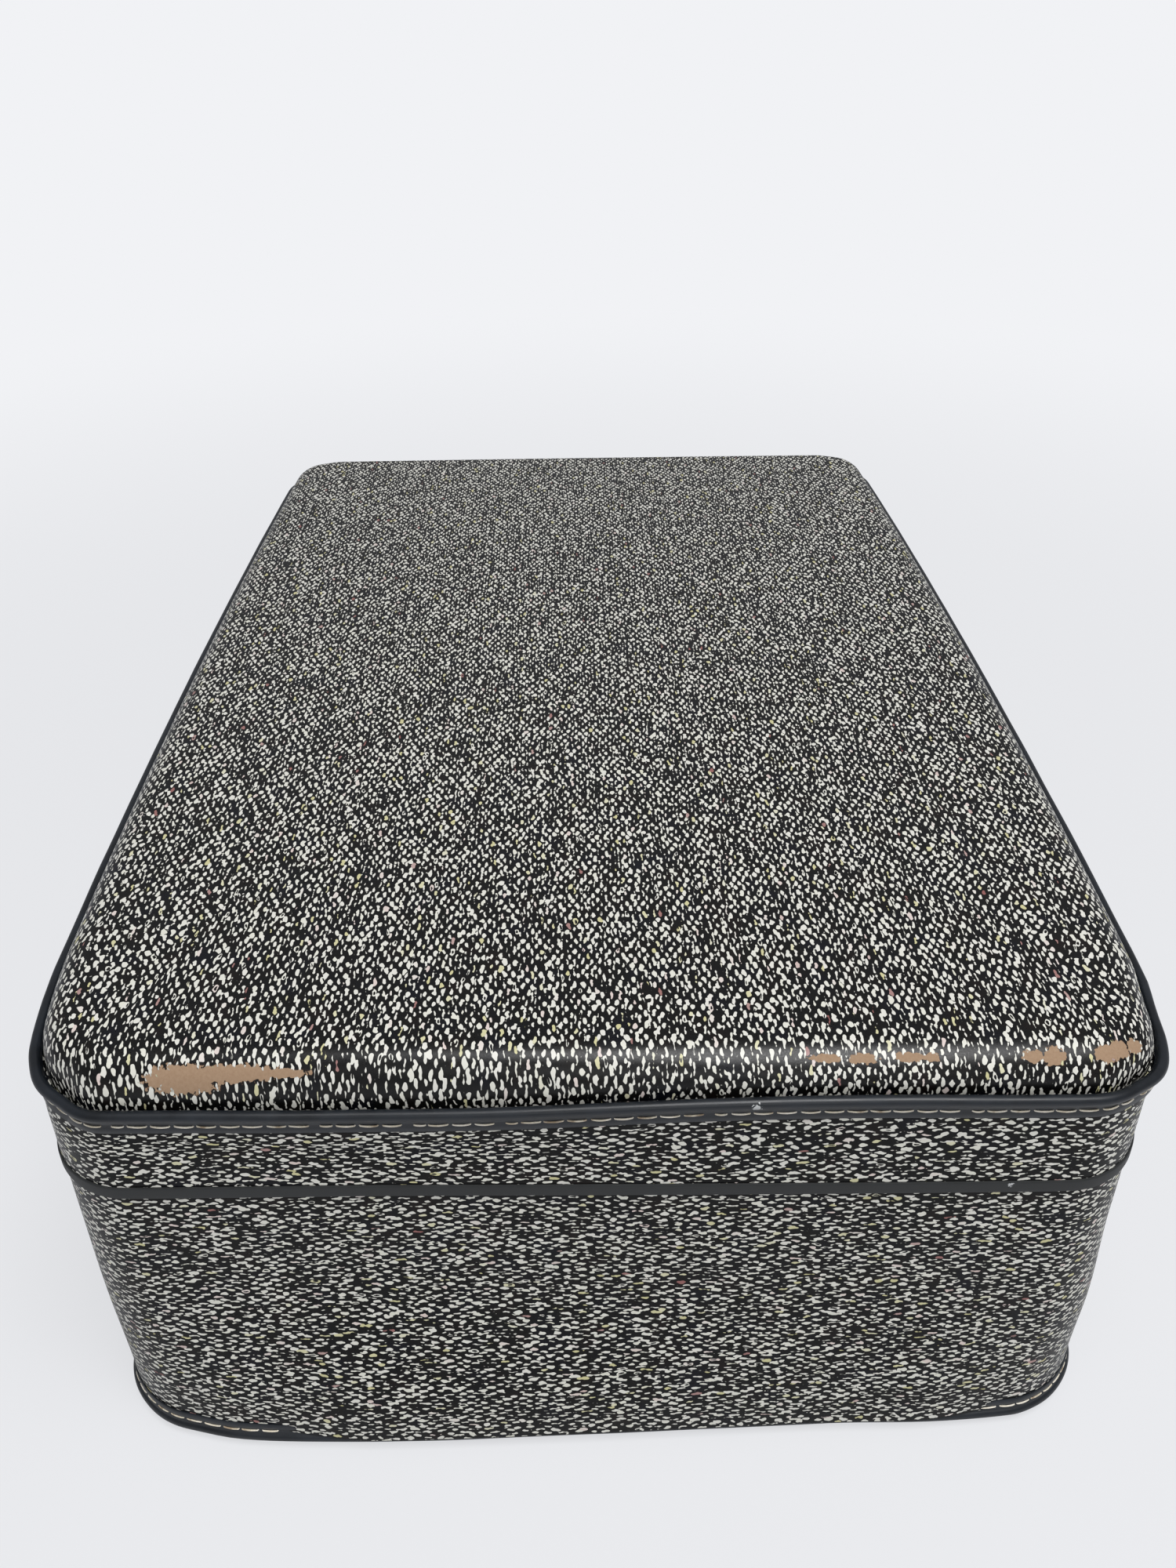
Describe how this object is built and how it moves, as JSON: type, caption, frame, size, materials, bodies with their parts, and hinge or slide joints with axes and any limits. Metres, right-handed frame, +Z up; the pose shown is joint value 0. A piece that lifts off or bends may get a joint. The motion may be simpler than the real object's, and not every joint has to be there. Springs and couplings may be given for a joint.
{
  "type": "suitcase",
  "caption": "Vintage fibreboard suitcase covered in tweed-print vinyl, with piped edges, a hinged lid, slide locks with hasps, a drop handle, straps and a lid pocket.",
  "frame": {"origin": "centre of the flat of the base panel, on which the closed case lies", "axes": "+X along the length, -Y the front with the handle and the locks, +Y the hinge side, +Z up through the lid"},
  "size_m": [0.627, 0.4332, 0.2004],
  "materials": {
    "tweed_vinyl": "fibreboard laminated outside with glossy printed vinyl in a black and white tweed pattern, and inside with lining paper",
    "piping_vinyl": "black extruded vinyl with a soft shine",
    "fibreboard": "pressed brown fibreboard",
    "lining_paper": "matt grey lining paper with a fine woven print",
    "webbing": "woven cotton webbing",
    "pocket_cloth": "gathered rayon cloth",
    "handle_plastic": "black moulded plastic",
    "steel": "bare steel strip",
    "brass": "worn brass",
    "nickel_plate": "worn bright nickel plate on pressed steel"
  },
  "bodies": {
    "case": {"case_wall_board": "tweed_vinyl", "case_base_board": "tweed_vinyl", "case_floor_panel": "lining_paper", "case_locating_frame": "fibreboard", "base_piping": "piping_vinyl", "hinge_case_leaf_left": "nickel_plate", "hinge_case_leaf_right": "nickel_plate", "hinge_pins": "nickel_plate", "hinge_case_rivets": "nickel_plate", "lock_backplate_left": "nickel_plate", "lock_backplate_right": "nickel_plate", "lock_housing_left": "nickel_plate", "lock_housing_right": "nickel_plate", "key_barrel_left": "brass", "key_barrel_right": "brass", "lock_rivets": "nickel_plate", "handle_brackets": "nickel_plate", "handle_pins": "nickel_plate", "handle_rivets": "nickel_plate", "packing_strap_left": "webbing", "packing_strap_right": "webbing", "strap_buckles": "nickel_plate", "strap_anchors": "nickel_plate", "case_feet": "nickel_plate"},
    "lid": {"lid_wall_board": "tweed_vinyl", "lid_top_board": "tweed_vinyl", "lid_ceiling_panel": "lining_paper", "lid_piping": "piping_vinyl", "lid_edge_strip": "piping_vinyl", "hinge_lid_leaf_left": "nickel_plate", "hinge_lid_leaf_right": "nickel_plate", "hinge_lid_rivets": "nickel_plate", "hasp_plate_left": "nickel_plate", "hasp_plate_right": "nickel_plate", "hasp_plate_rivets": "nickel_plate", "hasp_pins": "nickel_plate", "lid_pocket": "pocket_cloth", "pocket_elastic": "pocket_cloth"},
    "handle": {"handle_grip": "handle_plastic", "handle_core": "steel", "handle_eyes": "nickel_plate", "handle_ferrules": "nickel_plate"},
    "left_hasp": {"hasp_left": "nickel_plate", "hasp_staple_left": "nickel_plate"},
    "right_hasp": {"hasp_right": "nickel_plate", "hasp_staple_right": "nickel_plate"},
    "left_slide": {"slide_bolt_left": "nickel_plate", "slide_button_left": "nickel_plate"},
    "right_slide": {"slide_bolt_right": "nickel_plate", "slide_button_right": "nickel_plate"}
  },
  "joints": [
    {"name": "lid_open", "type": "hinge", "parent": "case", "child": "lid", "pos_m": [0, 0.2081, 0.13985], "axis": [-1, 0, 0], "range_deg": [0, 100]},
    {"name": "handle_swing", "type": "hinge", "parent": "case", "child": "handle", "pos_m": [0, -0.2138, 0.118], "axis": [-1, 0, 0], "range_deg": [0, 165]},
    {"name": "hasp_left_swing", "type": "hinge", "parent": "lid", "child": "left_hasp", "pos_m": [-0.20006, -0.20546, 0.15], "axis": [-0.9997, 0.0224, 0], "range_deg": [0, 120]},
    {"name": "hasp_right_swing", "type": "hinge", "parent": "lid", "child": "right_hasp", "pos_m": [0.20006, -0.20546, 0.15], "axis": [-0.9997, -0.0224, 0], "range_deg": [0, 120]},
    {"name": "lock_slide_left", "type": "slide", "parent": "case", "child": "left_slide", "axis": [-0.9997, 0.0224, 0], "range_m": [0, 0.006]},
    {"name": "lock_slide_right", "type": "slide", "parent": "case", "child": "right_slide", "axis": [0.9997, 0.0224, 0], "range_m": [0, 0.006]}
  ]
}
